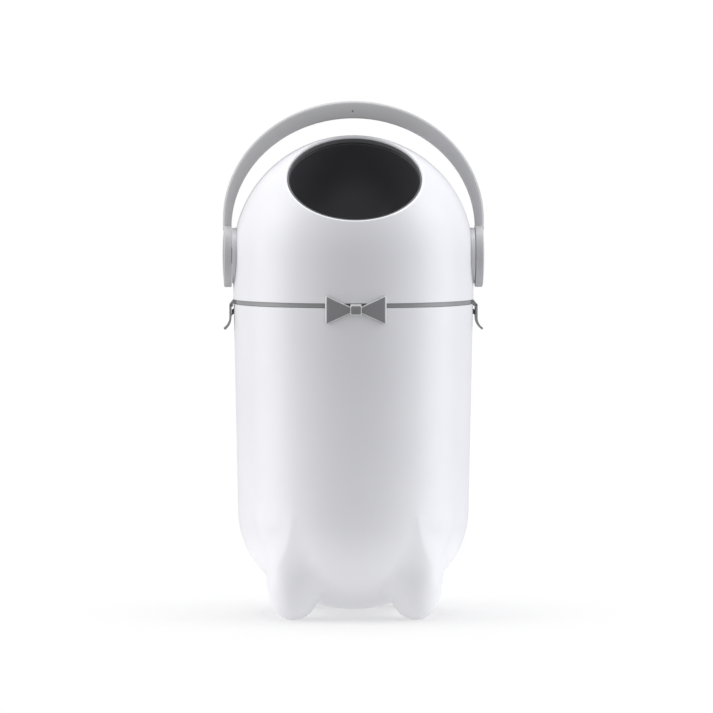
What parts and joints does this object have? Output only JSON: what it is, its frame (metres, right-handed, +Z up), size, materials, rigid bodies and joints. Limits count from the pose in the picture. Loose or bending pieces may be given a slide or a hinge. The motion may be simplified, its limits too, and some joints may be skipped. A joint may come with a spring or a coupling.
{
  "type": "nappy bin",
  "caption": "Tall round nappy bin on rounded feet, with a domed lift-off head, a slanted round inlet over a turning drum, a carrying handle, side clips and a bow tie trim.",
  "frame": {"origin": "on the floor, on the axis of the bin", "axes": "+Z up, -Y to the front where the inlet and the bow tie are, +X to the right as seen from the front"},
  "size_m": [0.2952, 0.2781, 0.58],
  "materials": {
    "white_shell": "satin moulded plastic",
    "grey_trim": "satin moulded plastic",
    "dark_inner": "smooth moulded plastic",
    "soft_seal": "soft rubber",
    "steel": "plain steel"
  },
  "bodies": {
    "bin": {"bin_shell": "white_shell", "front_left_foot": "white_shell", "front_right_foot": "white_shell", "rear_left_foot": "white_shell", "rear_right_foot": "white_shell", "bow_wings": "grey_trim", "bow_knot": "grey_trim"},
    "bag_holder": {"bag_ring": "grey_trim"},
    "head": {"dome_shell": "white_shell", "inlet_ring": "dark_inner", "inlet_seal": "soft_seal", "collar_ring": "grey_trim", "head_gasket": "soft_seal", "left_bush": "dark_inner", "right_bush": "dark_inner", "left_clip_pin": "steel", "right_clip_pin": "steel"},
    "rotor": {"drum_front": "dark_inner", "drum_rear": "dark_inner", "left_axle": "dark_inner", "right_axle": "dark_inner", "handle": "grey_trim", "left_screw": "steel", "right_screw": "steel", "left_hub_cap": "grey_trim", "right_hub_cap": "grey_trim"},
    "left_latch": {"left_clip": "grey_trim"},
    "right_latch": {"right_clip": "grey_trim"}
  },
  "joints": [
    {"name": "head_lift", "type": "slide", "parent": "bin", "child": "head", "axis": [0, 0, 1], "range_m": [0, 0.3]},
    {"name": "bag_ring_lift", "type": "slide", "parent": "bin", "child": "bag_holder", "axis": [0, 0, 1], "range_m": [0, 0.12]},
    {"name": "handle_turn", "type": "hinge", "parent": "head", "child": "rotor", "pos_m": [0, 0, 0.4057], "axis": [1, 0, 0], "range_deg": [0, 100]},
    {"name": "left_clip_turn", "type": "hinge", "parent": "head", "child": "left_latch", "pos_m": [-0.138, 0, 0.35], "axis": [0, 1, 0], "range_deg": [0, 105]},
    {"name": "right_clip_turn", "type": "hinge", "parent": "head", "child": "right_latch", "pos_m": [0.138, 0, 0.35], "axis": [0, -1, 0], "range_deg": [0, 105]}
  ],
  "couplings": [
    {"joint": "bag_ring_lift", "follows": "head_lift", "ratio": 0.4}
  ]
}
